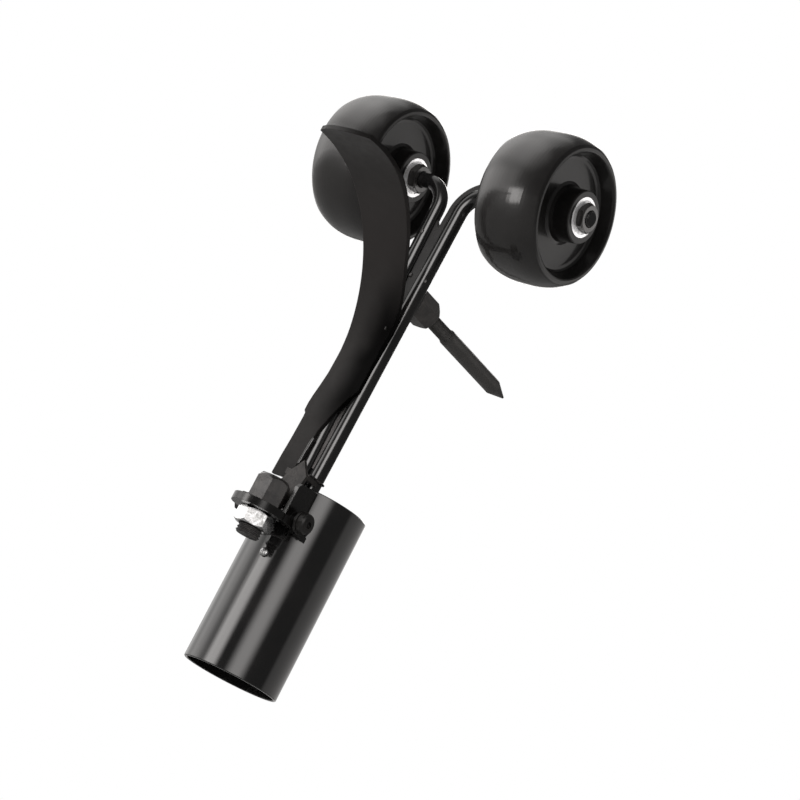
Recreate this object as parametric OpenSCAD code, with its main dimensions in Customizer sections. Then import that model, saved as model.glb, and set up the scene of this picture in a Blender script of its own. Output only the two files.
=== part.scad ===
// Twin-wheel head on a sleeve tube: a hinged bent-rod fork with two ball-bearing
// wheels, a curved blade and a screwed-in ground spike.
// Origin: centre of the open lower mouth of the sleeve tube. +Z runs up the tube
// axis towards the wheels, Y is the wheel axle direction, +X is the spike side.
// Left is +Y and right is -Y; a side argument is 1 for left and -1 for right.

/* [Sleeve] */
// Outer diameter of the sleeve tube
tube_d = 64; // [62:0.5:65]
// Wall thickness of the sleeve tube
tube_wall = 2; // [1.5:0.1:3]
// Length of the sleeve tube
tube_h = 124.5; // [110:0.5:124.5]

/* [Wheels] */
// Wheel diameter over the tread
wheel_d = 99; // [98:0.5:100]
// Rim width across the two lips
rim_w = 48; // [46:0.5:50]
// Hub width across the two bearing faces
hub_w = 58; // [54:1:60]
// Distance between the two wheel centres
track = 136; // [132:1:140]
// Height of the axle line above the tube mouth
axle_z = 348.6; // [345:0.2:352]
// Axle line position along X
axle_x = -20.6; // [-20.6:0.1:-20.4]

/* [Bearings] */
// Bearing outside diameter
brg_d = 26; // [26:0.1:26]
// Bearing width
brg_w = 8; // [8:0.1:8]
// Ball diameter
ball_d = 4.762; // [4.7:0.01:4.77]
// Number of balls in one bearing
ball_n = 7; // [6:1:7]

/* [Fork] */
// Rod diameter
rod_d = 10; // [9.96:0.01:10]
// Half distance between the two rods at the top of the uprights
rod_y = 9.07; // [9:0.01:9.2]
// Outward lean of each upright in degrees
rod_lean = 0.95; // [0.9:0.01:0.95]
// Sideways offset of the rod pair from the mid-plane
rod_off = 1.2; // [1:0.1:1.3]
// Centre-line bend radius at the axle
rod_bend = 18; // [16:0.5:20]
// Height of the lower rod ends
rod_z0 = 125.2; // [125.2:0.1:126]

/* [Blade] */
// Inside radius of the blade curve
blade_r = 106.5; // [104:0.5:108]
// Blade sheet thickness
blade_t = 2.9; // [2.4:0.1:2.9]

/* [Spike] */
// Shank diameter
spike_d = 11.6; // [11:0.1:12.5]
// Position of the tip along X
spike_tip = 127; // [120:1:140]
// Height of the spike axis above the tube mouth, at its nut
spike_z = 268.4; // [268:0.1:269]
// Droop of the spike towards its tip in degrees
spike_droop = 0.7; // [0.7:0.01:0.71]

/* [Adjuster] */
// Stud thread diameter
stud_d = 16; // [15.5:0.1:16]
// Width across the flats of the lock nut
hex_af = 22; // [21.5:0.1:22]
// Width across the flats of the tall adjuster hexagon
tall_af = 20.4; // [20:0.1:20.4]
// Stud axis position along X
stud_x = -50.8; // [-51.5:0.1:-50.8]

/* [Hidden] */
$fn = 96;
eps = 0.01;        // small overlap
cut = 1;           // overshoot of a through hole at each end
fit = 0.02;        // clearance in the bearings and on the axle
close_fit = 0.03;  // clearance on the tube and in plain bores
free_fit = 0.05;   // clearance at the pivot, in the larger nuts and round the balls

// Tube and its side screw
tube_r = tube_d/2;
tube_bore_r = tube_r - tube_wall;
screw_angle = 186.4;
screw_z = 76.3;

// Ear bracket: a flat tongue with two cheeks
ear_top = 99.7;
ear_t = 5;
ear_base = ear_top - ear_t;
ear_r = 19;
ear_gap = 0.1;
cheek_y = 13.5;
cheek_t = 3;
boss_y = 21.5;

// Pivot, parallel to Y
pin_x = -36.2;
pin_z = 100.7;
pin_r = 3.5;
washer_t = 1.5;
pivot_nut_h = 5.6;
stack_y = boss_y + washer_t + 2*free_fit;  // where the pin head and the nut start

// Rods: each upright joins its bend at joint_z
bend_z = axle_z - rod_bend;
bend_y = rod_y + rod_bend*cos(rod_lean);
joint_z = bend_z + rod_bend*sin(rod_lean);
rod_seat_r = rod_d/2 + 0.04;
bore_r = rod_d/2 + fit;

// Wheels and bearings
wheel_y = track/2;
hub_h = hub_w/2;
rim_h = rim_w/2;
seat_h = hub_h - brg_w - fit;  // half distance between the bearing seats
brg_r = brg_d/2;
inner_ring_r = 7;
outer_ring_r = 10.9;
pitch_r = 9;
groove_r = ball_d/2 + free_fit;

rod_color = [0.1, 0.1, 0.1];
wheel_color = [0.16, 0.16, 0.16];
outer_ring_color = [0.85, 0.85, 0.85];
shield_color = [0.8, 0.8, 0.8];
ball_color = [0.9, 0.9, 0.9];
cage_color = [0.6, 0.5, 0.3];

// ---------- shared shapes, all built along Z ----------

// hexagonal prism with chamfered corners
module hexagon(flats, height, chamfer = 1) {
    flat_r = flats/2;
    corner_r = flat_r/cos(30);
    intersection() {
        cylinder(r = corner_r, h = height, $fn = 6);
        rotate_extrude() polygon([
            [0, 0], [flat_r - 0.2, 0], [corner_r + 0.2, chamfer],
            [corner_r + 0.2, height - chamfer], [flat_r - 0.2, height], [0, height]]);
    }
}

// hexagon nut with a plain bore of radius bore, countersunk at both ends
module nut(flats, height, bore, chamfer = 1) {
    sink = 0.7;
    difference() {
        hexagon(flats, height, chamfer);
        translate([0, 0, -cut]) cylinder(r = bore, h = height + 2*cut);
        translate([0, 0, -eps]) cylinder(r1 = bore + sink, r2 = bore, h = sink);
        translate([0, 0, height - sink + eps]) cylinder(r1 = bore, r2 = bore + sink, h = sink);
    }
}

// shaft with ring-shaped ridges in place of a thread
module thread_shaft(crest_r, root_r, length, spacing) {
    count = floor(length/spacing);
    rotate_extrude() polygon(concat(
        [[0, 0], [root_r, 0]],
        [for (i = [0:count - 1], k = [0:1])
            k == 0 ? [root_r, (i + 0.12)*spacing] : [crest_r, (i + 0.55)*spacing]],
        [[root_r, (count - 0.05)*spacing], [root_r, length], [0, length]]));
}

module ring(outer_r, inner_r, height) {
    difference() {
        cylinder(r = outer_r, h = height);
        translate([0, 0, -cut]) cylinder(r = inner_r, h = height + 2*cut);
    }
}

// ---------- places; local +Z points along -Y at the pivot and axle ----------

module at_pivot(y = 0) {
    translate([pin_x, y, pin_z]) rotate([90, 0, 0]) children();
}

module at_axle(y) {
    translate([axle_x, y, axle_z]) rotate([90, 0, 0]) children();
}

// inner (end = -1) or outer (end = 1) bearing of the wheel on one side
module at_bearing(side, end) {
    at_axle(side*(wheel_y + end*(hub_h - brg_w/2))) children();
}

// local +Z points out of the tube along the screw
module at_screw(radius) {
    rotate([0, 0, screw_angle]) translate([radius, 0, screw_z]) rotate([0, 90, 0]) children();
}

// local +Z points towards the spike tip
module at_spike() {
    translate([0, 0, spike_z]) rotate([0, 90 + spike_droop, 0]) children();
}

// local +Z runs down the upright from its joint with the bend
module at_upright(side) {
    translate([axle_x, rod_off + side*rod_y, joint_z])
        rotate([180 - side*rod_lean, 0, 0]) children();
}

// ---------- sleeve ----------

module sleeve_tube() {
    outer_edge = 0.5;
    inner_edge = 0.4;
    color([0.12, 0.12, 0.12])
    difference() {
        rotate_extrude($fn = 128) polygon([
            [tube_bore_r, inner_edge], [tube_bore_r + inner_edge, 0],
            [tube_r - outer_edge, 0], [tube_r, outer_edge],
            [tube_r, tube_h - outer_edge], [tube_r - outer_edge, tube_h],
            [tube_bore_r + inner_edge, tube_h], [tube_bore_r, tube_h - inner_edge]]);
        at_screw(tube_r - 6) cylinder(r = 1.6, h = 12, $fn = 32);
    }
}

// domed screw with a cross slot
module tube_set_screw() {
    head_r = 2.9;
    rim_t = 0.5;
    dome_h = 1.5;
    slot = [3, 0.6, 2];
    shank_h = 2.2;
    color([0.6, 0.58, 0.56])
    at_screw(tube_r + 0.35) {
        difference() {
            rotate_extrude($fn = 48) polygon(concat(
                [[0, 0], [head_r, 0]],
                [for (a = [0:15:90]) [head_r*cos(a), rim_t + dome_h*sin(a)]]));
            for (turn = [0, 90])
                rotate([0, 0, turn]) translate([-slot[0]/2, -slot[1]/2, 1.2]) cube(slot);
        }
        translate([0, 0, -shank_h]) cylinder(r = 1.5, h = shank_h + eps, $fn = 32);
    }
}

// ---------- ear bracket and pivot ----------

// collar round the pivot axis, from inner_y to outer_y on one side
module pivot_collar(side, radius, inner_y, outer_y) {
    at_pivot(side > 0 ? outer_y : -inner_y) cylinder(r = radius, h = outer_y - inner_y);
}

module pivot_bore() {
    at_pivot(40) cylinder(r = pin_r + free_fit, h = 80);
}

// tongue outline in plan
module ear_outline() {
    half_w = 17;
    translate([stud_x, 0]) circle(r = ear_r);
    translate([stud_x, -half_w]) square([-22 - stud_x, 2*half_w]);
}

// upright plate that carries the pivot pin
module ear_cheek(side) {
    translate([-47.5, side > 0 ? cheek_y : -cheek_y - cheek_t, ear_top - eps])
        rotate([90, 0, 0]) translate([0, 0, -cheek_t])
        linear_extrude(height = cheek_t)
        polygon([[0, 0], [0, 19.3], [2.5, 22.1], [27, 23.8], [27, 0]]);
}

// side wing that slopes down from the tongue to the tube
module ear_wing(side) {
    inner_y = 16;
    outer_y = 22;
    // columns: X, Z
    profile = [[-50, ear_base], [-50, ear_top], [-43, ear_top],
        [-22, 94.6], [-22, 91.2], [-43, ear_base]];
    // columns: X, distance from the mid-plane
    plan = [[-50, 14], [-50, 18.9], [-42, 20.2], [-24, 21.5], [-20, 21.5], [-20, 14]];
    intersection() {
        translate([0, side > 0 ? outer_y : -inner_y, 0]) rotate([90, 0, 0])
            linear_extrude(height = outer_y - inner_y) polygon(profile);
        translate([0, 0, 85]) linear_extrude(height = 20)
            polygon([for (p = plan) [p[0], side*p[1]]]);
    }
}

// block under the tongue, against the tube
module ear_saddle() {
    translate([0, 0, 88.4]) linear_extrude(height = 7) intersection() {
        circle(r = tube_r + 3.2, $fn = 128);
        translate([-40, -14]) square([20, 28]);
    }
}

// stud hole, slightly lengthened along X
module stud_slot() {
    hole_r = stud_d/2 + 1.2;
    shift = 0.6;
    for (dx = [-shift, shift])
        translate([stud_x + dx, 0, 80]) cylinder(r = hole_r, h = 40);
    translate([stud_x - shift, -hole_r, 80]) cube([2*shift, 2*hole_r, 40]);
}

module ear_bracket() {
    color([0.13, 0.13, 0.13])
    difference() {
        union() {
            translate([0, 0, ear_base]) linear_extrude(height = ear_t) ear_outline();
            for (side = [-1, 1]) {
                ear_cheek(side);
                ear_wing(side);
                pivot_collar(side, radius = 5.6, inner_y = cheek_y + 1, outer_y = boss_y);
            }
            ear_saddle();
        }
        // seat on the tube
        translate([0, 0, 60]) cylinder(r = tube_r + close_fit, h = 80, $fn = 128);
        // window for the hinge eyes
        translate([pin_x - 6.2, -cheek_y, 90]) cube([12, 2*cheek_y, 30]);
        stud_slot();
        pivot_bore();
    }
}

// pin with its round, socketed head on the right
module pivot_pin() {
    shaft_end = 29;
    tip_h = 1.6;
    head_start = stack_y + eps;
    color([0.15, 0.15, 0.15])
    at_pivot() {
        translate([0, 0, -shaft_end]) cylinder(r = pin_r, h = shaft_end + head_start + eps);
        translate([0, 0, -shaft_end - tip_h])
            cylinder(r1 = pin_r - 0.8, r2 = pin_r, h = tip_h + eps);
        translate([0, 0, head_start]) difference() {
            // columns: radius, height
            rotate_extrude() polygon([[0, 0], [6.8, 0], [6.8, 3.0], [6.4, 4.1],
                [5.4, 4.8], [3.4, 5.2], [0, 5.3]]);
            translate([0, 0, 3.4]) cylinder(r = 2.6, h = 4, $fn = 6);
        }
    }
}

module pivot_washers() {
    color([0.2, 0.2, 0.2])
    for (y = [boss_y + free_fit + washer_t, -boss_y - free_fit])
        at_pivot(y) ring(outer_r = 7.6, inner_r = pin_r + close_fit, height = washer_t);
}

module pivot_nut() {
    color([0.2, 0.2, 0.2])
    at_pivot(stack_y + pivot_nut_h)
        nut(flats = 12, height = pivot_nut_h, bore = pin_r + close_fit, chamfer = 0.7);
}

// ---------- wheel frame ----------

// distance of an upright's centre line from the pair's centre at height z
function upright_y(z) = rod_y - (joint_z - z)*tan(rod_lean);

// upright, bend and axle in one rod
module fork_rod(side) {
    radius = rod_d/2;
    axle_l = wheel_y + hub_h + 6.4 - bend_y - side*rod_off;
    thread_l = 6.6;
    at_upright(side) cylinder(r = radius, h = (joint_z - rod_z0)/cos(rod_lean), $fn = 64);
    translate([axle_x, rod_off + side*bend_y, 0]) {
        // bend
        translate([0, 0, bend_z]) rotate([0, 0, side > 0 ? 180 : 0])
            rotate([90, 0, 90]) rotate([0, 0, rod_lean])
            rotate_extrude(angle = 90 - rod_lean, $fn = 96)
            translate([rod_bend, 0]) circle(r = radius, $fn = 64);
        // axle with a ridged end
        translate([0, 0, axle_z]) rotate([side > 0 ? -90 : 90, 0, 0]) {
            cylinder(r = radius, h = axle_l - thread_l, $fn = 64);
            translate([0, 0, axle_l - thread_l - eps]) thread_shaft(
                crest_r = radius, root_r = radius - 0.6, length = thread_l, spacing = 1.5);
        }
    }
}

module fork_rod_left() {
    color(rod_color) fork_rod(1);
}

module fork_rod_right() {
    color(rod_color) fork_rod(-1);
}

// flat bar between the uprights, with a strip round the outside of the right bend
module rod_tie_bar() {
    bar_t = 3;
    strip_w = 3.5;
    low_z = 139;
    top_z = 323;
    low_w = upright_y(low_z) - rod_seat_r;
    top_w = upright_y(top_z) - rod_seat_r;
    strip_r = rod_bend + rod_seat_r;
    color([0.2, 0.2, 0.2]) {
        translate([axle_x - bar_t/2, rod_off, 0]) rotate([90, 0, 90])
            linear_extrude(height = bar_t) polygon([
                [-low_w, low_z], [low_w, low_z], [top_w, top_z], [0.2, top_z - 6],
                [strip_r + strip_w - bend_y, bend_z], [strip_r - bend_y, bend_z],
                [-top_w, top_z]]);
        translate([axle_x, rod_off - bend_y, bend_z]) rotate([90, 0, 90])
            rotate_extrude(angle = 84, $fn = 96)
            translate([strip_r, -bar_t/2]) square([strip_w, bar_t]);
    }
}

module frame_foot() {
    eye_in = 8.6;
    eye_out = 12.9;
    plate_x = -34.75;
    // columns: Y, Z
    neck = [[-eye_out, 104], [-eye_in, 104], [-eye_in, 107.2], [eye_in, 107.2],
        [eye_in, 104], [eye_out, 104], [eye_out, 116], [6.4, 124], [5.6, 127.4],
        [-2.4, 138.6], [-9.4, 129.2], [-8.6, 123], [-eye_out, 116]];
    color([0.3, 0.29, 0.28])
    difference() {
        union() {
            // hinge eyes
            for (side = [-1, 1])
                pivot_collar(side, radius = 5.2, inner_y = eye_in, outer_y = eye_out);
            // neck plate that rises past the tube's rim
            translate([-37.6, 0, 0]) rotate([90, 0, 90])
                linear_extrude(height = 2.9) polygon(neck);
            // plate that the rods are let into
            translate([plate_x, -9, 127.6]) cube([14.1, 18.5, 3.8]);
            // gusset between the plate and the neck
            translate([0, 0.2, 0]) rotate([90, 0, 0]) linear_extrude(height = 3)
                polygon([[plate_x, 131.3], [-29.4, 131.3], [plate_x, 136.4]]);
        }
        pivot_bore();
        // seats of the two rods
        for (side = [-1, 1])
            at_upright(side) cylinder(r = rod_seat_r, h = joint_z - 115, $fn = 64);
    }
}

// ---------- blade ----------

// -X face of the flat part, and centre of the curve above it
blade_x = -28.6;
arc_x = blade_x - blade_r;
arc_z = 205;
blade_z0 = 120;

// outline seen along X; columns: Y, Z
blade_side = [
    [24.1, 126.5], [23.7, 139], [22.9, 152], [22.4, 168], [22.6, 170.4], [24, 172],
    [24.1, 177], [23.5, 183], [22.2, 191], [21, 200], [20.7, 208], [20, 218],
    [19.6, 232], [20, 330],
    [-24.5, 330], [-23.4, 310.5], [-21.6, 306], [-19.6, 300], [-17.6, 292], [-15.5, 282],
    [-14.3, 273], [-14.4, 260], [-14.4, 250], [-13, 240], [-10.6, 231], [-9, 222],
    [-8, 212], [-7.6, 194], [-3.2, 188], [2.4, 174.5], [6.4, 161.5], [7.7, 141],
    [10, 132], [11.5, 126.5]];

// plan outline with a rounded tip; columns: X, Y
tip_r = 44.5;
tip_centre = [-109.5, -6];
corner_r = 4;
corner_centre = [-143.2, 16];
blade_plan = concat(
    [[-20, -30], [-100, -30]],
    [for (a = [-33:3:24]) tip_centre + tip_r*[-cos(a), sin(a)]],
    [for (a = [32:14:88]) corner_centre + corner_r*[-cos(a), sin(a)]],
    [[-100, 20.2], [-60, 26], [-20, 26]]);

// sheet section in X and Z: a flat part below an arc
module blade_sheet() {
    past_top = 12;  // degrees the arc runs beyond its highest point
    reach = 200;
    translate([arc_x, arc_z]) intersection() {
        difference() {
            circle(r = blade_r + blade_t, $fn = 180);
            circle(r = blade_r, $fn = 180);
        }
        polygon([[0, 0], [reach, 0], [reach, reach], [-60, reach],
            [-reach*sin(past_top), reach*cos(past_top)]]);
    }
    translate([blade_x, blade_z0]) square([blade_t, arc_z - blade_z0 + eps]);
}

module curved_blade() {
    color([0.2, 0.19, 0.19])
    intersection() {
        translate([0, 30, 0]) rotate([90, 0, 0]) linear_extrude(height = 60) blade_sheet();
        rotate([90, 0, 90]) translate([0, 0, -200])
            linear_extrude(height = 200) polygon(blade_side);
        translate([0, 0, 100]) linear_extrude(height = 250) polygon(blade_plan);
    }
}

// ---------- spike ----------

spike_thread_r = 4.95;

module spike_nut() {
    color([0.2, 0.2, 0.2])
    at_spike() rotate([0, 0, 30]) translate([0, 0, -15.3])
        nut(flats = 19, height = 23.4, bore = spike_thread_r + free_fit, chamfer = 1.4);
}

module ground_spike() {
    radius = spike_d/2;
    plain_start = -14;
    thread_start = 8;
    shank_start = 36;
    color([0.35, 0.34, 0.33])
    at_spike() {
        translate([0, 0, plain_start])
            cylinder(r = spike_thread_r, h = thread_start - plain_start + eps);
        translate([0, 0, thread_start]) thread_shaft(crest_r = spike_thread_r, root_r = 4.3,
            length = shank_start - thread_start + eps, spacing = 1.5);
        // columns: radius, distance along the spike
        rotate_extrude() polygon([
            [0, shank_start], [4.6, shank_start], [radius - 0.5, 37.2], [radius, 38.4],
            [radius, 109], [radius - 0.35, 110.2], [0.7, spike_tip - 0.6], [0, spike_tip]]);
    }
}

// ---------- adjuster ----------

// tall hexagon with a tapered top and a blind bore from below
module adjuster_hex() {
    height = 18.6;
    cap_t = 1.4;
    color([0.18, 0.18, 0.18])
    translate([stud_x, 0, ear_top + ear_gap]) rotate([0, 0, 30]) difference() {
        intersection() {
            hexagon(tall_af, height, chamfer = 1.3);
            rotate_extrude() polygon([[0, 0], [13, 0], [13, 14.4],
                [tall_af/2 - 1.6, height], [0, height]]);
        }
        translate([0, 0, -cut]) cylinder(r = stud_d/2 + close_fit, h = height - cap_t + cut);
    }
}

// stud, ridged below and plain above
module adjuster_stud() {
    radius = stud_d/2;
    thread_l = 14;
    color([0.1, 0.1, 0.1])
    translate([stud_x, 0, 78.4]) {
        thread_shaft(crest_r = radius, root_r = radius - 0.9, length = thread_l, spacing = 2);
        translate([0, 0, thread_l - eps]) cylinder(r = radius, h = 23.5);
    }
}

module adjuster_lock_nut() {
    height = 10.2;
    color([0.85, 0.85, 0.85])
    translate([stud_x, 0, ear_base - ear_gap - height]) rotate([0, 0, 8])
        nut(flats = hex_af, height = height, bore = stud_d/2 + free_fit, chamfer = 1.6);
}

// ---------- parts on the axles ----------

// nuts at the inner (end = -1) or outer (end = 1) hub faces
module axle_nuts(end, height) {
    gap = 0.06;
    for (side = [-1, 1])
        at_axle(side*(wheel_y + end*(hub_h + height/2 + gap)))
        translate([0, 0, -height/2]) nut(flats = 17, height = height, bore = bore_r);
}

module axle_inner_nuts() {
    color([0.15, 0.15, 0.15]) axle_nuts(end = -1, height = 6);
}

module axle_outer_nuts() {
    color([0.15, 0.15, 0.15]) axle_nuts(end = 1, height = 5);
}

// bearing ring between two radii, with the ball groove cut in
module grooved_ring(inner_r, outer_r) {
    rotate_extrude() difference() {
        translate([inner_r, -brg_w/2]) square([outer_r - inner_r, brg_w]);
        translate([pitch_r, 0]) circle(r = groove_r, $fn = 48);
    }
}

module bearing_inner_rings() {
    color([0.75, 0.75, 0.75])
    for (side = [-1, 1], end = [-1, 1])
        at_bearing(side, end) grooved_ring(bore_r, inner_ring_r);
}

module bearing_spacers() {
    color([0.5, 0.5, 0.5])
    for (side = [-1, 1])
        at_axle(side*wheel_y) translate([0, 0, -seat_h]) ring(inner_ring_r, bore_r, 2*seat_h);
}

// ---------- wheels ----------

tread_r = wheel_d/2;
tread_drop = 4.5;         // fall of the tread from its crown to its edge
tread_h = rim_h - 1.6;    // half width of the tread
tread_steps = 13;

// half section from the bore out to the tread; columns: radius, distance from mid-plane
wheel_half = concat(
    // bore, bearing seat and hub
    [[10.6, 0], [10.6, seat_h], [brg_r + fit, seat_h], [brg_r + fit, hub_h],
     [16.4, hub_h], [17.1, hub_h - 0.6], [17.6, 17.5], [18.6, 15.2], [20.5, 14.2]],
    // web and rim lip
    [[34.4, 14.2], [36.2, 14.6], [37.4, 15.6], [38.1, 17.4],
     [40.2, rim_h - 1.5], [40.7, rim_h - 0.5], [41.6, rim_h],
     [43, rim_h - 0.2], [44.2, rim_h - 0.8]],
    // crowned tread
    [for (i = [0:tread_steps - 1]) let (y = tread_h*cos(90*i/tread_steps))
        [tread_r - tread_drop*pow(y/tread_h, 2.8), y]],
    [[tread_r, 0]]);
wheel_section = concat(wheel_half,
    [for (i = [len(wheel_half) - 2:-1:1]) [wheel_half[i][0], -wheel_half[i][1]]]);

module wheel(side) {
    at_axle(side*wheel_y) rotate_extrude($fn = 144) polygon(wheel_section);
}

module outer_rings(side) {
    for (end = [-1, 1])
        at_bearing(side, end) grooved_ring(outer_ring_r, brg_r);
}

module shields(side) {
    shield_t = 0.8;
    for (end = [-1, 1], face = [-1, 1])
        at_bearing(side, end) translate([0, 0, face*3.35 - shield_t/2])
        ring(outer_ring_r - fit, inner_ring_r + 0.1, shield_t);
}

// the ring of balls in one bearing
module ball_circle(radius) {
    for (i = [0:ball_n - 1])
        rotate([0, 0, i*360/ball_n]) translate([pitch_r, 0, 0]) sphere(r = radius, $fn = 48);
}

module balls(side) {
    for (end = [-1, 1])
        at_bearing(side, end) ball_circle(ball_d/2);
}

module cages(side) {
    cage_w = 3.6;
    half_t = 0.9;
    for (end = [-1, 1]) at_bearing(side, end) difference() {
        translate([0, 0, -cage_w/2]) ring(pitch_r + half_t, pitch_r - half_t, cage_w);
        ball_circle(ball_d/2 + 0.06);
    }
}

module left_wheel() { color(wheel_color) wheel(1); }
module left_bearing_outer_rings() { color(outer_ring_color) outer_rings(1); }
module left_bearing_shields() { color(shield_color) shields(1); }
module left_bearing_balls() { color(ball_color) balls(1); }
module left_bearing_cages() { color(cage_color) cages(1); }
module right_wheel() { color(wheel_color) wheel(-1); }
module right_bearing_outer_rings() { color(outer_ring_color) outer_rings(-1); }
module right_bearing_shields() { color(shield_color) shields(-1); }
module right_bearing_balls() { color(ball_color) balls(-1); }
module right_bearing_cages() { color(cage_color) cages(-1); }

sleeve_tube();
tube_set_screw();
ear_bracket();
pivot_pin();
pivot_washers();
pivot_nut();
fork_rod_left();
fork_rod_right();
rod_tie_bar();
frame_foot();
curved_blade();
spike_nut();
adjuster_hex();
adjuster_stud();
adjuster_lock_nut();
ground_spike();
axle_inner_nuts();
axle_outer_nuts();
bearing_inner_rings();
bearing_spacers();
left_wheel();
left_bearing_outer_rings();
left_bearing_shields();
left_bearing_balls();
left_bearing_cages();
right_wheel();
right_bearing_outer_rings();
right_bearing_shields();
right_bearing_balls();
right_bearing_cages();
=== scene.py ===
"""Twin-wheel assembly: a tube with an ear bracket below, two upright rods rising from a foot
plate, and a curved blade, a spike and two bearing wheels carried by the rods.

The rods stand nearly along +Z. The front of the part faces -X, its left side is +Y.
The CAD pieces are painted and welded here, then lit and seen from the front right, from below.
"""
import bpy
import bmesh
import math
import numpy as np
from mathutils import Vector, Matrix


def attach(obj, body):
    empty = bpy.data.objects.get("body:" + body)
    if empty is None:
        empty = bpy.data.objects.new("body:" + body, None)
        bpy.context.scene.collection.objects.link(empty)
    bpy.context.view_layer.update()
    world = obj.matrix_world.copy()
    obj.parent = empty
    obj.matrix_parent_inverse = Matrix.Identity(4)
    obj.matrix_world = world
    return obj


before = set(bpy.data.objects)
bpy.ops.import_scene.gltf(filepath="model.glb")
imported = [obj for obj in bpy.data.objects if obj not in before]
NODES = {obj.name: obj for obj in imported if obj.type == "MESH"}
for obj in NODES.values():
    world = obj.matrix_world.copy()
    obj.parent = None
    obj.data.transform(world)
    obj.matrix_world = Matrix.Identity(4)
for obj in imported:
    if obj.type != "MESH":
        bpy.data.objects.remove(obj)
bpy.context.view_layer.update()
MM = 0.001


# ---------------------------------------------------------------- node trees
class Tree:
    """Short calls for building a node tree. A value may be a number or a socket."""

    def __init__(self, node_tree):
        self.tree = node_tree

    def new(self, kind, **props):
        node = self.tree.nodes.new(kind)
        for key, value in props.items():
            setattr(node, key, value)
        return node

    def link(self, source, target):
        self.tree.links.new(source, target)

    def put(self, socket, value):
        if isinstance(value, bpy.types.NodeSocket):
            self.link(value, socket)
        elif value is not None:
            socket.default_value = value

    def math(self, operation, first, second=None):
        node = self.new("ShaderNodeMath", operation=operation)
        self.put(node.inputs[0], first)
        self.put(node.inputs[1], second)
        return node.outputs[0]

    def ramp(self, value, start, end, low=0.0, high=1.0):
        """Smooth step from low at start to high at end."""
        node = self.new("ShaderNodeMapRange", interpolation_type="SMOOTHSTEP")
        self.put(node.inputs["Value"], value)
        node.inputs["From Min"].default_value = start
        node.inputs["From Max"].default_value = end
        node.inputs["To Min"].default_value = low
        node.inputs["To Max"].default_value = high
        return node.outputs["Result"]

    def split(self, vector):
        node = self.new("ShaderNodeSeparateXYZ")
        self.link(vector, node.inputs[0])
        return list(node.outputs)


class Paint(Tree):
    """A new material in object coordinates, ended by a call of surface()."""

    def __init__(self, name):
        self.material = bpy.data.materials.new(name)
        self.material.use_nodes = True
        super().__init__(self.material.node_tree)
        self.tree.nodes.clear()
        self.out = self.new("ShaderNodeOutputMaterial")
        self.coord = self.new("ShaderNodeTexCoord").outputs["Object"]

    def noise(self, scale, detail=3.0, rough=0.6, vector=None, distort=0.0):
        node = self.new("ShaderNodeTexNoise")
        self.put(node.inputs["Vector"], self.coord if vector is None else vector)
        node.inputs["Scale"].default_value = scale
        node.inputs["Detail"].default_value = detail
        node.inputs["Roughness"].default_value = rough
        node.inputs["Distortion"].default_value = distort
        return node.outputs["Fac"]

    def stretch(self, x, y, z):
        node = self.new("ShaderNodeMapping")
        self.link(self.coord, node.inputs["Vector"])
        node.inputs["Scale"].default_value = (x, y, z)
        return node.outputs["Vector"]

    def plus(self, value, mask, weight):
        return self.math("ADD", value, self.math("MULTIPLY", mask, weight))

    def relief(self, first, second):
        """Sum of two (height, weight) pairs."""
        return self.plus(self.math("MULTIPLY", *first), *second)

    def mix(self, factor, first, second):
        node = self.new("ShaderNodeMix", data_type="RGBA")
        self.put(node.inputs["Factor"], factor)
        # the colour sockets share their names with those of the other data types
        self.put(node.inputs[6], first)
        self.put(node.inputs[7], second)
        return node.outputs[2]

    def layer(self, under, over, mask, weight):
        """Lay a colour over another where the mask is high, at most by weight."""
        return self.mix(self.math("MULTIPLY", mask, weight), under, over)

    def bump(self, height, strength, distance, normal):
        node = self.new("ShaderNodeBump")
        node.inputs["Strength"].default_value = strength
        node.inputs["Distance"].default_value = distance
        self.put(node.inputs["Height"], height)
        self.link(normal, node.inputs["Normal"])
        return node.outputs["Normal"]

    def bevel(self, radius):
        node = self.new("ShaderNodeBevel", samples=4)
        node.inputs["Radius"].default_value = radius
        return node.outputs["Normal"]

    def worn_edge(self, bevel, full, patch_scale, patch):
        """0 on flat faces, 1 on edges bent past full, broken up by noise between two levels."""
        geometry = self.new("ShaderNodeNewGeometry")
        dot = self.new("ShaderNodeVectorMath", operation="DOT_PRODUCT")
        self.link(bevel, dot.inputs[0])
        self.link(geometry.outputs["Normal"], dot.inputs[1])
        bend = self.math("SUBTRACT", 1.0, dot.outputs["Value"])
        edge = self.ramp(bend, start=0.02, end=full)
        patches = self.ramp(self.noise(scale=patch_scale, detail=4, rough=0.65), *patch)
        return self.math("MULTIPLY", edge, patches)

    def surface(self, color, rough, normal=None, metal=0.0, spec=0.5, coat=0.0, coat_rough=0.05):
        shader = self.new("ShaderNodeBsdfPrincipled")
        values = {
            "Base Color": color, "Roughness": rough, "Metallic": metal, "IOR": 1.5,
            "Specular IOR Level": spec, "Coat Weight": coat, "Coat Roughness": coat_rough,
            "Normal": normal,
        }
        for key, value in values.items():
            self.put(shader.inputs[key], value)
        self.link(shader.outputs["BSDF"], self.out.inputs["Surface"])
        return shader


def rgb(r, g, b):
    return (r, g, b, 1.0)


def shade(color, r, g, b):
    """The colour with each channel multiplied."""
    return rgb(color[0] * r, color[1] * g, color[2] * b)


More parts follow.
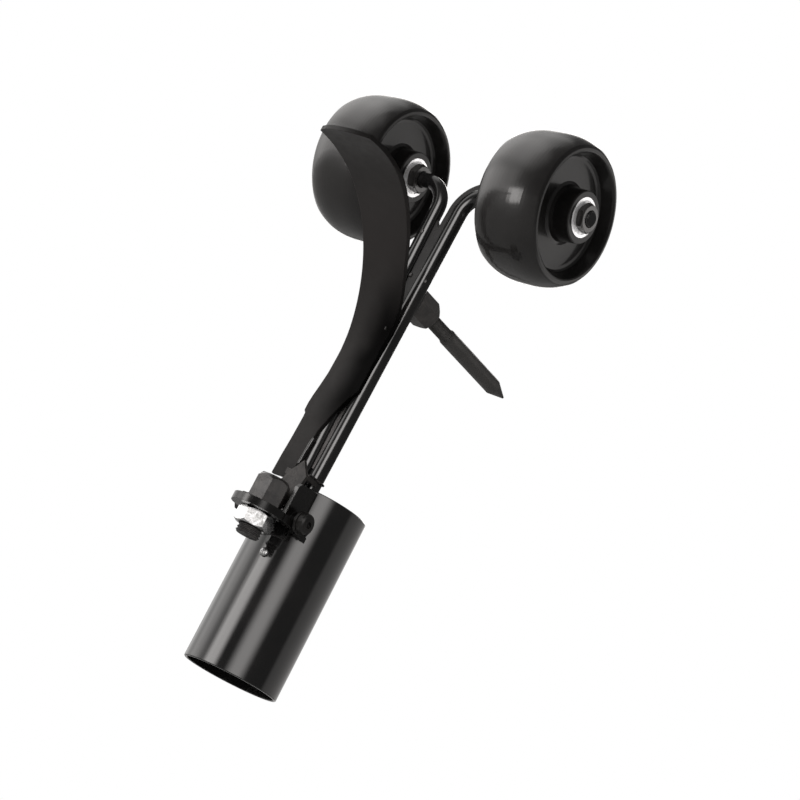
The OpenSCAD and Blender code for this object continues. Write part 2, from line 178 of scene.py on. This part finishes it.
# ---------------------------------------------------------------- materials
def black_enamel(name, rough, base, stretch, wave, wear=0.5):
    """Glossy enamel: slow waviness, fine orange peel, dust and edge wear."""
    p = Paint(name)
    bevel = p.bevel(radius=0.00035)
    slow = p.noise(scale=55, detail=2.0, rough=0.5, vector=p.stretch(*stretch))
    peel = p.noise(scale=900, detail=2.0, rough=0.5)
    dust = p.ramp(p.noise(scale=2600, detail=1.0, rough=0.5), start=0.70, end=0.80)
    patch = p.noise(scale=30, detail=4.0)
    height = p.relief((slow, wave), (peel, 0.05))
    normal = p.bump(height, strength=0.22, distance=0.0006, normal=bevel)
    edge = p.worn_edge(bevel, full=0.22, patch_scale=420, patch=(0.46, 0.62))
    edge = p.math("MULTIPLY", edge, wear)
    grey = (base, base, base)
    color = p.mix(p.ramp(patch, start=0.35, end=0.7),
                  shade(grey, 1.0, 1.0, 1.02), shade(grey, 1.5, 1.42, 1.4))
    color = p.layer(color, rgb(0.10, 0.095, 0.09), dust, weight=0.12)
    color = p.mix(edge, color, rgb(0.11, 0.105, 0.10))
    gloss = p.ramp(patch, start=0.3, end=0.75, low=rough * 0.8, high=rough * 1.35)
    gloss = p.plus(gloss, edge, weight=0.22)
    p.surface(color, gloss, normal, coat=0.25, coat_rough=0.06)
    return p.material


def satin_paint(name, base, rough, spec=0.5, grain=1.0, painted_sheen=0.0):
    """Satin black paint with fine scratches; the last argument gives the grey of a painted
    highlight on its lower end.
    """
    p = Paint(name)
    bevel = p.bevel(radius=0.00045)
    fine = p.noise(scale=1500)
    mid = p.noise(scale=160, detail=4.0)
    big = p.noise(scale=22)
    height = p.relief((fine, 0.10 * grain), (mid, 0.16 * grain))
    normal = p.bump(height, strength=0.30, distance=0.0005, normal=bevel)
    scratch = p.noise(scale=70, detail=6.0, rough=0.7, vector=p.stretch(14.0, 1.4, 1.0))
    scratch = p.ramp(scratch, start=0.60, end=0.72)
    edge = p.worn_edge(bevel, full=0.25, patch_scale=380, patch=(0.42, 0.60))
    color = p.mix(p.ramp(big, start=0.3, end=0.72), rgb(*base), shade(base, 1.5, 1.5, 1.5))
    # painted highlight: a lighter grey sheen towards the lower end
    if painted_sheen:
        z = p.split(p.coord)[2]
        color = p.mix(p.ramp(z, start=0.205, end=0.160), color,
                      rgb(painted_sheen, painted_sheen * 0.95, painted_sheen * 0.94))
    color = p.layer(color, rgb(0.07, 0.066, 0.064), scratch, weight=0.10)
    color = p.layer(color, rgb(0.12, 0.115, 0.11), edge, weight=0.65)
    gloss = p.ramp(mid, start=0.25, end=0.75, low=rough * 0.88, high=rough * 1.15)
    p.surface(color, p.plus(gloss, scratch, weight=0.06), normal, spec=spec)
    return p.material


def blade_paint(name):
    """Satin black on the blade, greyer towards +Y, with painted shade: deep black low down
    towards -Y by the rods, darker at the top and at the foot end.
    """
    p = Paint(name)
    bevel = p.bevel(radius=0.0007)
    fine = p.noise(scale=1500)
    mid = p.noise(scale=140, detail=4.0)
    big = p.noise(scale=16, rough=0.55)
    height = p.relief((fine, 0.08), (mid, 0.12))
    normal = p.bump(height, strength=0.28, distance=0.0005, normal=bevel)
    _, y, z = p.split(p.coord)
    # the border between the grey and the painted shade wavers and moves towards -Y higher up
    waver = p.ramp(big, start=0.25, end=0.75, low=-0.004, high=0.004)
    shade_border = p.plus(p.math("ADD", y, waver), p.ramp(z, start=0.21, end=0.30), weight=0.016)
    lit_side = p.ramp(shade_border, start=-0.003, end=0.017)
    # painted shade: deep black over the lower part, on the -Y side next to the rods
    shade_band = p.math("MULTIPLY", p.ramp(z, start=0.292, end=0.236),
                      p.ramp(z, start=0.150, end=0.190, low=0.35, high=1.0))
    painted_shade = p.math("MULTIPLY", shade_band, p.math("SUBTRACT", 1.0, lit_side))
    # painted shade: darker at the lower end, by the foot and the hex
    painted_foot_shade = p.ramp(z, start=0.150, end=0.128)
    # painted shade: darker along the top end of the blade
    painted_top_shade = p.ramp(z, start=0.298, end=0.314)
    color = p.mix(p.ramp(big, start=0.3, end=0.72),
                  rgb(0.0450, 0.0402, 0.0385), rgb(0.0550, 0.0490, 0.0470))
    color = p.layer(color, rgb(0.0120, 0.0110, 0.0107), painted_top_shade, weight=0.65)
    color = p.layer(color, rgb(0.0022, 0.0021, 0.0021), painted_shade, weight=0.96)
    color = p.layer(color, rgb(0.0030, 0.0029, 0.0029), painted_foot_shade, weight=0.5)
    scratch = p.noise(scale=60, detail=6.0, rough=0.7, vector=p.stretch(1.0, 10.0, 1.2))
    scratch = p.ramp(scratch, start=0.62, end=0.74)
    color = p.layer(color, rgb(0.07, 0.066, 0.064), scratch, weight=0.05)
    edge = p.worn_edge(bevel, full=0.25, patch_scale=380, patch=(0.40, 0.60))
    color = p.layer(color, rgb(0.10, 0.096, 0.094), edge, weight=0.55)
    gloss = p.ramp(mid, start=0.25, end=0.75, low=0.36, high=0.46)
    gloss = p.plus(gloss, painted_shade, weight=-0.04)
    # the part under the painted shade loses nearly all of its specular level
    full_spec, shade_spec_loss = 0.25, 0.22
    spec = p.math("SUBTRACT", full_spec, p.math("MULTIPLY", painted_shade, shade_spec_loss))
    p.surface(color, gloss, normal, spec=spec)
    return p.material


def oxide(name, base=(0.035, 0.034, 0.034), rough=0.48, metal=0.35, worn=(0.20, 0.195, 0.19),
          grain=1.0):
    """Matt black oxide on steel: fine grain, worn corners."""
    p = Paint(name)
    bevel = p.bevel(radius=0.0004)
    fine = p.noise(scale=1900)
    mid = p.noise(scale=240, detail=4.0, rough=0.62)
    height = p.relief((fine, 0.15), (mid, 0.2))
    normal = p.bump(height, strength=0.35 * grain, distance=0.0005, normal=bevel)
    edge = p.worn_edge(bevel, full=0.2, patch_scale=500, patch=(0.36, 0.6))
    pale = shade(base, 1 + 0.7 * grain, 1 + 0.65 * grain, 1 + 0.6 * grain)
    color = p.mix(p.ramp(mid, start=0.3, end=0.72), rgb(*base), pale)
    color = p.layer(color, rgb(*worn), edge, weight=0.7)
    gloss = p.ramp(p.noise(scale=90, detail=4), start=0.3, end=0.75,
                   low=rough * 0.85, high=rough * 1.2)
    p.surface(color, gloss, normal, metal=metal)
    return p.material


def moulded(name):
    """Hard black polymer of the wheels: satin gloss skin, fine grain and scuffs."""
    p = Paint(name)
    bevel = p.bevel(radius=0.0005)
    fine = p.noise(scale=1100)
    mid = p.noise(scale=120, rough=0.55)
    big = p.noise(scale=26)
    scuff = p.noise(scale=90, detail=7.0, rough=0.72, vector=p.stretch(1.0, 9.0, 1.0))
    scuff = p.ramp(scuff, start=0.60, end=0.74)
    height = p.relief((fine, 0.05), (mid, 0.18))
    normal = p.bump(height, strength=0.28, distance=0.0005, normal=bevel)
    edge = p.worn_edge(bevel, full=0.3, patch_scale=300, patch=(0.42, 0.62))
    color = p.mix(p.ramp(big, start=0.3, end=0.72),
                  rgb(0.0165, 0.0153, 0.0149), rgb(0.0240, 0.0222, 0.0214))
    color = p.layer(color, rgb(0.05, 0.047, 0.046), scuff, weight=0.14)
    color = p.layer(color, rgb(0.075, 0.072, 0.07), edge, weight=0.4)
    gloss = p.ramp(big, start=0.28, end=0.75, low=0.32, high=0.42)
    gloss = p.plus(gloss, scuff, weight=0.12)
    coat_rough = p.ramp(mid, start=0.3, end=0.7, low=0.07, high=0.12)
    p.surface(color, gloss, normal, spec=0.24, coat=0.60, coat_rough=coat_rough)
    return p.material


def zinc(name, tone, rough, mottled=0.35):
    """Bright zinc plate: cool mottled sheen and small pits."""
    p = Paint(name)
    bevel = p.bevel(radius=0.0003)
    fine = p.noise(scale=1700)
    mottle = p.noise(scale=420, detail=5.0, rough=0.62, distort=0.6)
    pit = p.ramp(p.noise(scale=900, detail=2.0, rough=0.5), start=0.64, end=0.72)
    height = p.relief((fine, 0.18), (mottle, 0.32))
    normal = p.bump(height, strength=0.32, distance=0.0005, normal=bevel)
    dull = tone * (1 - mottled)
    color = p.mix(p.ramp(mottle, start=0.32, end=0.70),
                  rgb(tone, tone, tone * 1.01), rgb(dull, dull * 1.01, dull * 0.99))
    color = p.layer(color, rgb(0.20, 0.20, 0.19), pit, weight=0.35)
    gloss = p.ramp(mottle, start=0.25, end=0.8, low=rough * 0.8, high=rough * 1.5)
    p.surface(color, gloss, normal, metal=1.0)
    return p.material


def bearing_steel(name, tone, rough, metal=1.0):
    """Pale steel of the bearings, with a faint fine grain."""
    p = Paint(name)
    bevel = p.bevel(radius=0.00025)
    fine = p.noise(scale=2400)
    mid = p.noise(scale=300)
    height = p.relief((fine, 0.10), (mid, 0.08))
    normal = p.bump(height, strength=0.25, distance=0.0004, normal=bevel)
    color = p.mix(p.ramp(mid, start=0.3, end=0.72),
                  rgb(tone, tone, tone), rgb(tone * 0.86, tone * 0.86, tone * 0.88))
    gloss = p.ramp(mid, start=0.3, end=0.72, low=rough * 0.8, high=rough * 1.5)
    p.surface(color, gloss, normal, metal=metal)
    return p.material


def brass(name):
    p = Paint(name)
    mid = p.noise(scale=300)
    normal = p.bump(p.noise(scale=1800), strength=0.2, distance=0.0004,
                    normal=p.bevel(radius=0.0002))
    color = p.mix(p.ramp(mid, start=0.3, end=0.72), rgb(0.62, 0.45, 0.19), rgb(0.45, 0.31, 0.13))
    gloss = p.ramp(mid, start=0.3, end=0.72, low=0.25, high=0.38)
    p.surface(color, gloss, normal, metal=1.0)
    return p.material


MATERIALS = {
    "tube": black_enamel("enamel_tube", rough=0.115, base=0.0060, stretch=(1.0, 1.0, 0.22),
                         wave=0.45),
    "rod": black_enamel("enamel_rod", rough=0.16, base=0.0065, stretch=(1.0, 1.0, 0.5),
                        wave=0.5, wear=0.6),
    "ear": satin_paint("satin_ear", base=(0.0080, 0.0075, 0.0072), rough=0.24),
    "foot": oxide("painted_foot", base=(0.024, 0.0224, 0.0219), rough=0.30, metal=0.0,
                  worn=(0.16, 0.153, 0.15), grain=2.6),
    # the tie bar gets a painted highlight, lighter grey, on its lower end
    "bar": satin_paint("satin_bar", base=(0.0095, 0.0088, 0.0086), rough=0.28, spec=0.3,
                       painted_sheen=0.10),
    "blade": blade_paint("satin_blade"),
    "oxide": oxide("oxide_bolt"),
    "pin": oxide("oxide_pin", base=(0.016, 0.0155, 0.015), rough=0.34, metal=0.25),
    "hex": oxide("oxide_hex", base=(0.030, 0.029, 0.029), rough=0.26),
    "spike": oxide("oxide_spike", base=(0.062, 0.060, 0.058), rough=0.44, metal=0.45,
                   grain=0.35),
    "spike_nut": oxide("oxide_spike_nut", base=(0.045, 0.043, 0.042), rough=0.46),
    "axle": oxide("oxide_axle_nut", base=(0.022, 0.0212, 0.021), rough=0.30, metal=0.2),
    "wheel": moulded("moulded_wheel"),
    "zinc": zinc("zinc_plate", tone=0.80, rough=0.22, mottled=0.48),
    "screw": zinc("zinc_screw", tone=0.42, rough=0.3),
    "steel": bearing_steel("ground_steel", tone=0.90, rough=0.30, metal=0.45),
    "inner": bearing_steel("ground_steel_inner", tone=0.62, rough=0.24),
    "shield": bearing_steel("pressed_shield", tone=1.0, rough=0.50, metal=0.15),
    "brass": brass("cage_brass"),
    "weld": satin_paint("painted_weld", base=(0.030, 0.028, 0.027), rough=0.26, grain=1.6),
}

# CAD piece: material
PIECES = {
    "sleeve_tube": "tube", "tube_set_screw": "screw", "ear_bracket": "ear",
    "pivot_pin": "pin", "pivot_washers": "pin", "pivot_nut": "oxide",
    "fork_rod_left": "rod", "fork_rod_right": "rod", "rod_tie_bar": "bar",
    "frame_foot": "foot", "curved_blade": "blade", "spike_nut": "spike_nut",
    "adjuster_hex": "hex", "adjuster_stud": "oxide", "adjuster_lock_nut": "zinc",
    "ground_spike": "spike", "axle_inner_nuts": "axle", "axle_outer_nuts": "axle",
    "bearing_inner_rings": "inner", "bearing_spacers": "inner",
    "left_wheel": "wheel", "right_wheel": "wheel",
    "left_bearing_outer_rings": "steel", "right_bearing_outer_rings": "steel",
    "left_bearing_shields": "shield", "right_bearing_shields": "shield",
    "left_bearing_balls": "steel", "right_bearing_balls": "steel",
    "left_bearing_cages": "brass", "right_bearing_cages": "brass",
}
for piece_name, material_key in PIECES.items():
    piece = NODES[piece_name]
    if not piece.material_slots:
        piece.data.materials.append(MATERIALS[material_key])
    for slot in piece.material_slots:
        slot.material = MATERIALS[material_key]


# ---------------------------------------------------------------- weld beads
# Paths and radii are in millimetres.
BEAD_STEP = 0.28 * MM       # between the rings of a bead
BEAD_SIDES = 18
BEAD_FLATNESS = 0.75        # height of the section over its width
RIPPLE_PITCH = 1.1 * MM
RIPPLE_BOW = 0.132 * MM     # how far a ripple curves along the bead
X_AXIS = (1.0, 0.0, 0.0)
Z_AXIS = (0.0, 0.0, 1.0)


def bead_frames(path):
    """Even stations along the path: distances, centres and unit tangents."""
    corners = np.array(path, float) * MM
    reach = np.r_[0.0, np.cumsum(np.linalg.norm(np.diff(corners, axis=0), axis=1))]
    steps = max(12, int(reach[-1] / BEAD_STEP))
    distances = np.linspace(0.0, reach[-1], steps + 1)
    centres = np.stack([np.interp(distances, reach, corners[:, i]) for i in range(3)], 1)
    tangents = np.roll(centres, -1, 0) - np.roll(centres, 1, 0)
    tangents[0] = centres[1] - centres[0]
    tangents[-1] = centres[-1] - centres[-2]
    tangents /= np.linalg.norm(tangents, axis=1)[:, None]
    return distances, centres, tangents


def bead(name, path, radius, seed, up=Z_AXIS, body="wheel_frame", paint="weld", ripple=0.16):
    """A rippled weld bead swept along a path, flattened along up and tapered at its ends."""
    phase = np.random.default_rng(seed).uniform(0, 6.28, 3)
    distances, centres, tangents = bead_frames(path)
    length = distances[-1]
    rise = np.tile(np.array(up, float), (len(centres), 1))
    rise -= tangents * np.sum(tangents * rise, axis=1)[:, None]
    rise /= np.linalg.norm(rise, axis=1)[:, None]
    across = np.cross(tangents, rise)
    bm = bmesh.new()
    rings = []
    for i, s in enumerate(distances):
        taper = math.sqrt(min(1.0, 0.25 + min(s, length - s) / (0.9 * radius * MM)))
        ring = []
        for j in range(BEAD_SIDES):
            angle = 2 * math.pi * j / BEAD_SIDES
            wave = ((s + RIPPLE_BOW * math.cos(angle)) / RIPPLE_PITCH) % 1.0
            r = 1.0 + ripple * (math.sin(math.pi * wave) - 0.55)
            # slow unevenness, in thickness and round the section
            r += 0.08 * math.sin(s / 0.0031 + phase[0])
            r += 0.05 * math.sin(s / 0.0017 + 2 * angle + phase[1])
            r *= radius * MM * taper
            ring.append(bm.verts.new(Vector(
                centres[i] + rise[i] * (r * BEAD_FLATNESS * math.sin(angle))
                + across[i] * (r * math.cos(angle)))))
        rings.append(ring)
    for a, b in zip(rings, rings[1:]):
        for j in range(BEAD_SIDES):
            k = (j + 1) % BEAD_SIDES
            bm.faces.new((a[j], a[k], b[k], b[j]))
    bm.faces.new(list(reversed(rings[0])))
    bm.faces.new(rings[-1])
    bmesh.ops.recalc_face_normals(bm, faces=bm.faces)
    mesh = bpy.data.meshes.new(name)
    bm.to_mesh(mesh)
    bm.free()
    for face in mesh.polygons:
        face.use_smooth = True
    weld = bpy.data.objects.new(name, mesh)
    bpy.context.scene.collection.objects.link(weld)
    mesh.materials.append(MATERIALS[paint])
    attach(weld, body)


# The rods lean apart upwards, evenly about a plane just left of the middle.
ROD_X = -20.6
ROD_MIDDLE_Y = 1.2
ROD_LEAN = math.radians(0.95)
ROD_HALF_GAP = 9.07         # between rod centre and middle plane at ROD_GAP_Z
ROD_GAP_Z = 330.9
LEFT, RIGHT = 1, -1


def rod_centre(side, z):
    half_gap = ROD_HALF_GAP - (ROD_GAP_Z - z) * math.tan(ROD_LEAN)
    return (ROD_X, ROD_MIDDLE_Y + side * half_gap, z)


def arc(centre, radius, start, end, count=40):
    """Level arc; angles are measured from +X towards +Y, in degrees."""
    x, y, z = centre
    return [(x + radius * math.cos(a), y + radius * math.sin(a), z)
            for a in np.radians(np.linspace(start, end, count))]


def rod_line(side, low, high, angle, out):
    """Line along a rod, out from its centre in the direction of angle."""
    a = math.radians(angle)
    centres = [rod_centre(side, z) for z in np.linspace(low, high, 12)]
    return [(x + out * math.cos(a), y + out * math.sin(a), z) for x, y, z in centres]


FOOT_WELD_Z = 131.6
FOOT_ARCS = {LEFT: (50, 215), RIGHT: (145, 310)}
TIE_WELD_STARTS = (150.0, 214.0, 286.0)
TIE_WELD_LENGTH = 13
TIE_WELD_BACK, TIE_WELD_IN = 2.2, 4.4    # from the rod centre, to +X and to the middle

for side_name, side in (("left", LEFT), ("right", RIGHT)):
    # rod to foot plate, round its outer and front sides
    bead("weld_foot_" + side_name, arc(rod_centre(side, FOOT_WELD_Z), 5.3, *FOOT_ARCS[side]),
         radius=1.15, seed=11 + side)
    # rod to tie bar, behind
    for i, z in enumerate(TIE_WELD_STARTS):
        line = rod_line(side, z, z + TIE_WELD_LENGTH, angle=0, out=0.0)
        bead(f"weld_tie_{side_name}_{i}",
             [(x + TIE_WELD_BACK, y - side * TIE_WELD_IN, z) for x, y, z in line],
             radius=0.8, seed=51 + 7 * i + side, up=X_AXIS)

# left rod to the blade, on the front of the rod
bead("weld_blade_left_upper", rod_line(LEFT, 236.0, 250.0, angle=168, out=5.2),
     radius=1.4, seed=82, up=X_AXIS)
# short tacks on the rods, the bar and the blade
bead("weld_rod_left_tack", rod_line(LEFT, 309.3, 312.9, angle=188, out=4.9),
     radius=1.25, seed=91, up=X_AXIS)
bead("weld_rod_right_tack", rod_line(RIGHT, 277.6, 280.2, angle=232, out=4.9),
     radius=1.0, seed=92, up=X_AXIS)
bead("weld_bar_tack", [(-22.3, 3.3, 279.6), (-22.3, 3.4, 282.8)],
     radius=1.1, seed=93, up=X_AXIS)
bead("weld_blade_dot", [(-33.7, -8.4, 236.6), (-34.2, -8.2, 239.0)],
     radius=0.8, seed=94, up=X_AXIS)
# smooth fillet in front of the left rod, near its foot
bead("weld_rod_edge",
     [(-28.7, 8.3, 137.0), (-28.9, 7.6, 142.5), (-29.0, 7.1, 150.0), (-29.0, 6.2, 156.5)],
     radius=1.05, seed=95, up=X_AXIS, paint="rod", ripple=0.0)
# spike nut to the right rod
bead("weld_spike_right", [(-14.6, -8.6, 261.5), (-15.4, -8.9, 268.0), (-15.0, -8.6, 275.0)],
     radius=1.1, seed=96, up=X_AXIS)
# lug to the foot plate, on its right and front sides
bead("weld_lug_right", [(-34.4, -8.9, 131.7), (-30.0, -9.1, 131.7), (-26.6, -9.1, 131.7)],
     radius=0.9, seed=97)
bead("weld_lug_front", [(-34.5, -7.6, 131.6), (-34.5, 0.0, 131.8), (-34.5, 5.0, 131.6)],
     radius=0.8, seed=98)
# ear bracket to the front of the tube
bead("weld_ear_saddle", arc((0.0, 0.0, 88.3), 32.5, 158, 202, count=60),
     radius=0.75, seed=64, body="sleeve")


# ---------------------------------------------------------------- camera
CAMERA_PLACE = Vector((-1.1417973, -0.895298, -0.1351746))
CAMERA_FORWARD = Vector((0.7718, 0.5927, 0.2303)).normalized()
CAMERA_UP = Vector((-0.4418, 0.2393, 0.8646))      # roughly; squared up below


def add_camera():
    right = CAMERA_FORWARD.cross(CAMERA_UP).normalized()
    up = right.cross(CAMERA_FORWARD).normalized()
    data = bpy.data.cameras.new("camera")
    camera = bpy.data.objects.new("camera", data)
    bpy.context.scene.collection.objects.link(camera)
    turn = Matrix((right, up, -CAMERA_FORWARD)).transposed()
    camera.matrix_world = Matrix.Translation(CAMERA_PLACE) @ turn.to_4x4()
    data.sensor_width = 36.0
    data.lens = 104.3946
    data.clip_start = 0.01
    data.clip_end = 100.0
    bpy.context.scene.camera = camera


# ---------------------------------------------------------------- floor and world
FLOOR_Z = -0.62     # well below the part, so that it never hides it from a low viewpoint


def add_floor():
    bm = bmesh.new()
    bmesh.ops.create_grid(bm, x_segments=8, y_segments=8, size=6.0)
    mesh = bpy.data.meshes.new("floor")
    bm.to_mesh(mesh)
    bm.free()
    floor = bpy.data.objects.new("floor", mesh)
    bpy.context.scene.collection.objects.link(floor)
    floor.location = (0.0, 0.0, FLOOR_Z)
    p = Paint("floor_pale")
    cloud = p.ramp(p.noise(scale=3.0, detail=2, rough=0.5), start=0.3, end=0.7)
    shader = p.surface(p.mix(cloud, rgb(0.90, 0.90, 0.90), rgb(0.93, 0.93, 0.93)), rough=0.7)
    # the lamps light the part only, so the floor glows evenly towards the camera
    glow = 0.56
    shader.inputs["Emission Color"].default_value = rgb(1.0, 1.0, 1.0)
    seen = p.new("ShaderNodeLightPath").outputs["Is Camera Ray"]
    p.link(p.math("MULTIPLY", seen, glow), shader.inputs["Emission Strength"])
    mesh.materials.append(p.material)


def sky_panel(t, azimuth, elevation, centre, half, side_soft, low, high, end_soft, power):
    """A soft rectangle in azimuth and elevation, in degrees."""
    offset = t.math("ADD", t.math("SUBTRACT", azimuth, centre), 180.0)
    offset = t.math("SUBTRACT", t.math("FLOORED_MODULO", offset, 360.0), 180.0)
    sideways = t.ramp(t.math("ABSOLUTE", offset), half, half + side_soft, low=1.0, high=0.0)
    bottom = t.ramp(elevation, low - end_soft, low)
    top = t.ramp(elevation, high, high + end_soft, low=1.0, high=0.0)
    patch = t.math("MULTIPLY", sideways, t.math("MULTIPLY", bottom, top))
    return t.math("MULTIPLY", patch, power)


def add_world():
    """White to the camera; a dim sky with one soft panel on the left to everything else."""
    world = bpy.data.worlds.new("studio")
    bpy.context.scene.world = world
    world.use_nodes = True
    t = Tree(world.node_tree)
    t.tree.nodes.clear()
    degrees = 180 / math.pi
    x, y, z = t.split(t.new("ShaderNodeTexCoord").outputs["Generated"])
    azimuth = t.math("MULTIPLY", t.math("ARCTAN2", y, x), degrees)
    elevation = t.math("MULTIPLY", t.math("ARCSINE", z), degrees)
    sky = t.ramp(elevation, start=-70.0, end=80.0, low=0.16, high=0.11)
    panel = sky_panel(t, azimuth, elevation, centre=100.0, half=34.0, side_soft=26.0,
                      low=-30.0, high=66.0, end_soft=24.0, power=0.95)
    sky = t.math("ADD", sky, panel)
    shaders = []
    for color, strength in ((rgb(1.0, 0.985, 0.97), sky), (rgb(1.0, 1.0, 1.0), 1.0)):
        background = t.new("ShaderNodeBackground")
        t.put(background.inputs["Color"], color)
        t.put(background.inputs["Strength"], strength)
        shaders.append(background.outputs[0])
    light_path = t.new("ShaderNodeLightPath")
    mix = t.new("ShaderNodeMixShader")
    t.link(light_path.outputs["Is Camera Ray"], mix.inputs[0])
    t.link(shaders[0], mix.inputs[1])
    t.link(shaders[1], mix.inputs[2])
    t.link(mix.outputs[0], t.new("ShaderNodeOutputWorld").inputs["Surface"])


# ---------------------------------------------------------------- lamps
LAMP_DISTANCE = 2.2
LAMP_TINT = (1.0, 0.972, 0.955)
AIM_EAR = (-0.045, 0.0, 0.10)
AIM_RODS = (-0.02, 0.0, 0.23)
AIM_WHEELS = (-0.02, -0.068, 0.3486)

# group: (point its lamps aim at, beginnings of its objects' names)
GROUPS = {
    "tube": ((0.0, 0.0, 0.06), ("sleeve_tube", "tube_set_screw")),
    "ear": (AIM_EAR, ("ear_bracket", "weld_ear")),
    "pivot": (AIM_EAR, ("pivot_",)),
    "foot": ((-0.035, 0.0, 0.13), ("frame_foot", "weld_foot", "weld_lug")),
    "adjuster": (AIM_EAR, ("adjuster_hex", "adjuster_stud")),
    "lock_nut": (AIM_EAR, ("adjuster_lock_nut",)),
    "rods": (AIM_RODS, ("fork_rod", "rod_tie", "weld_rod", "weld_tie", "weld_bar")),
    "blade": (AIM_RODS, ("curved_blade", "weld_blade")),
    "wheels": (AIM_WHEELS, ("left_wheel", "right_wheel")),
    "bearings": (AIM_WHEELS, ("left_bearing", "right_bearing", "bearing_", "axle_")),
    "spike": ((0.06, 0.0, 0.268), ("spike_nut", "ground_spike", "weld_spike")),
}

# name, group, azimuth from +X towards +Y, elevation, width, height (degrees seen from the
# aim point), radiance, soft share of the lamp's half size
LAMPS = [
    ("key_tube", "tube", -138.0, 8.0, 56.0, 70.0, 3.6, 0.85),
    ("edge_tube", "tube", 159.0, 6.0, 44.0, 70.0, 5.7, 0.75),
    ("side_tube", "tube", 110.0, 8.0, 50.0, 80.0, 1.1, 0.8),
    ("right_tube", "tube", -12.0, 8.0, 110.0, 80.0, 0.45, 0.35),
    ("edge_ear", "ear", 148.0, 6.0, 24.0, 30.0, 6.5, 0.5),
    ("key_ear", "ear", -139.0, 10.0, 30.0, 40.0, 2.2, 0.7),
    ("side_ear", "ear", 120.0, 8.0, 40.0, 60.0, 1.2, 0.8),
    ("under_ear", "ear", -150.0, -50.0, 30.0, 30.0, 3.0, 0.6),
    ("key_pivot", "pivot", -110.0, 16.0, 46.0, 50.0, 1.9, 0.7),
    ("edge_pivot", "pivot", 170.0, 20.0, 30.0, 40.0, 3.0, 0.7),
    ("edge_adj", "adjuster", 146.0, 9.0, 22.0, 16.0, 6.0, 0.8),
    ("key_adj", "adjuster", -141.0, 6.0, 26.0, 60.0, 5.6, 0.6),
    ("right_adj", "adjuster", -88.0, 4.0, 40.0, 60.0, 1.5, 0.8),
    ("left_nut", "lock_nut", 98.0, 8.0, 56.0, 60.0, 1.9, 0.5),
    ("mid_nut", "lock_nut", -146.0, 6.0, 34.0, 46.0, 1.5, 0.6),
    ("right_nut", "lock_nut", -18.0, 8.0, 34.0, 40.0, 0.5, 0.8),
    ("under_nut", "lock_nut", 170.0, -48.0, 50.0, 30.0, 0.8, 0.8),
    ("key_foot", "foot", -170.0, 18.0, 40.0, 50.0, 5.0, 0.7),
    ("glint_foot", "foot", 146.0, 10.0, 14.0, 14.0, 2.2, 0.8),
    ("key_rods", "rods", -163.0, 12.0, 48.0, 70.0, 6.5, 0.7),
    ("fill_rods", "rods", 125.0, 0.0, 60.0, 80.0, 1.3, 0.8),
    ("top_blade", "blade", 120.0, -35.0, 50.0, 60.0, 2.4, 0.8),
    ("side_blade", "blade", 132.0, 14.0, 50.0, 40.0, 0.9, 0.8),
    ("key_wheels", "wheels", 157.0, -14.0, 24.0, 24.0, 7.5, 0.45),
    ("low_wheels", "wheels", 150.0, -34.0, 40.0, 20.0, 2.0, 0.7),
    ("side_wheels", "wheels", 122.0, 4.0, 70.0, 50.0, 1.7, 0.8),
    ("top_wheels", "wheels", 130.0, 45.0, 90.0, 50.0, 0.9, 0.7),
    ("right_wheels", "wheels", -36.0, 6.0, 64.0, 90.0, 0.62, 0.6),
    ("right_bearings", "bearings", -44.0, 4.0, 76.0, 90.0, 2.1, 0.6),
    ("front_bearings", "bearings", -165.0, 10.0, 50.0, 60.0, 2.2, 0.7),
    ("left_bearings", "bearings", 130.0, 0.0, 60.0, 80.0, 2.0, 0.7),
    ("key_spike", "spike", -160.0, -4.0, 60.0, 70.0, 2.0, 0.7),
    ("right_spike", "spike", -60.0, 20.0, 60.0, 70.0, 0.8, 0.7),
    ("back_all", "all", 36.0, 26.0, 44.0, 50.0, 4.0, 0.8),
]


def soften(lamp, soft):
    """Fade the lamp's strength to nothing at its four edges."""
    t = Tree(lamp.node_tree)
    emission = [node for node in t.tree.nodes if node.type == "EMISSION"][0]
    across, along, _ = t.split(t.new("ShaderNodeNewGeometry").outputs["Parametric"])
    fades = []
    for place in (across, along):
        offset = t.math("ABSOLUTE", t.math("SUBTRACT", place, 0.5))
        fades.append(t.ramp(offset, start=0.5 * (1 - soft), end=0.5, low=1.0, high=0.0))
    t.link(t.math("MULTIPLY", *fades), emission.inputs["Strength"])


def softbox(name, aim, receivers, azimuth, elevation, width, height, radiance, soft):
    """A soft-edged rectangular lamp facing the aim point and lighting only the receivers."""
    a, e = math.radians(azimuth), math.radians(elevation)
    direction = Vector((math.cos(a) * math.cos(e), math.sin(a) * math.cos(e), math.sin(e)))
    lamp = bpy.data.lights.new(name, "AREA")
    lamp.shape = "RECTANGLE"
    size_x, size_y = (2 * LAMP_DISTANCE * math.tan(math.radians(angle / 2))
                      for angle in (width, height))
    lamp.size, lamp.size_y = size_x, size_y
    lamp.energy = radiance * math.pi * size_x * size_y
    lamp.color = LAMP_TINT
    lamp.use_nodes = True
    soften(lamp, soft)
    holder = bpy.data.objects.new(name, lamp)
    bpy.context.scene.collection.objects.link(holder)
    turn = direction.to_track_quat("Z", "Y").to_matrix().to_4x4()
    holder.matrix_world = Matrix.Translation(Vector(aim) + direction * LAMP_DISTANCE) @ turn
    lit = bpy.data.collections.new("lit_by_" + name)
    for receiver in receivers:
        lit.objects.link(receiver)
    holder.light_linking.receiver_collection = lit


def add_lamps():
    meshes = [o for o in bpy.context.scene.objects if o.type == "MESH"]
    groups = {key: (aim, [o for o in meshes if o.name.startswith(starts)])
              for key, (aim, starts) in GROUPS.items()}
    groups["all"] = (AIM_RODS, [o for _, members in groups.values() for o in members])
    for name, key, *settings in LAMPS:
        softbox(name, *groups[key], *settings)


add_camera()
add_floor()
add_world()
add_lamps()

bpy.context.scene.view_settings.view_transform = "Standard"
bpy.context.scene.view_settings.look = "None"
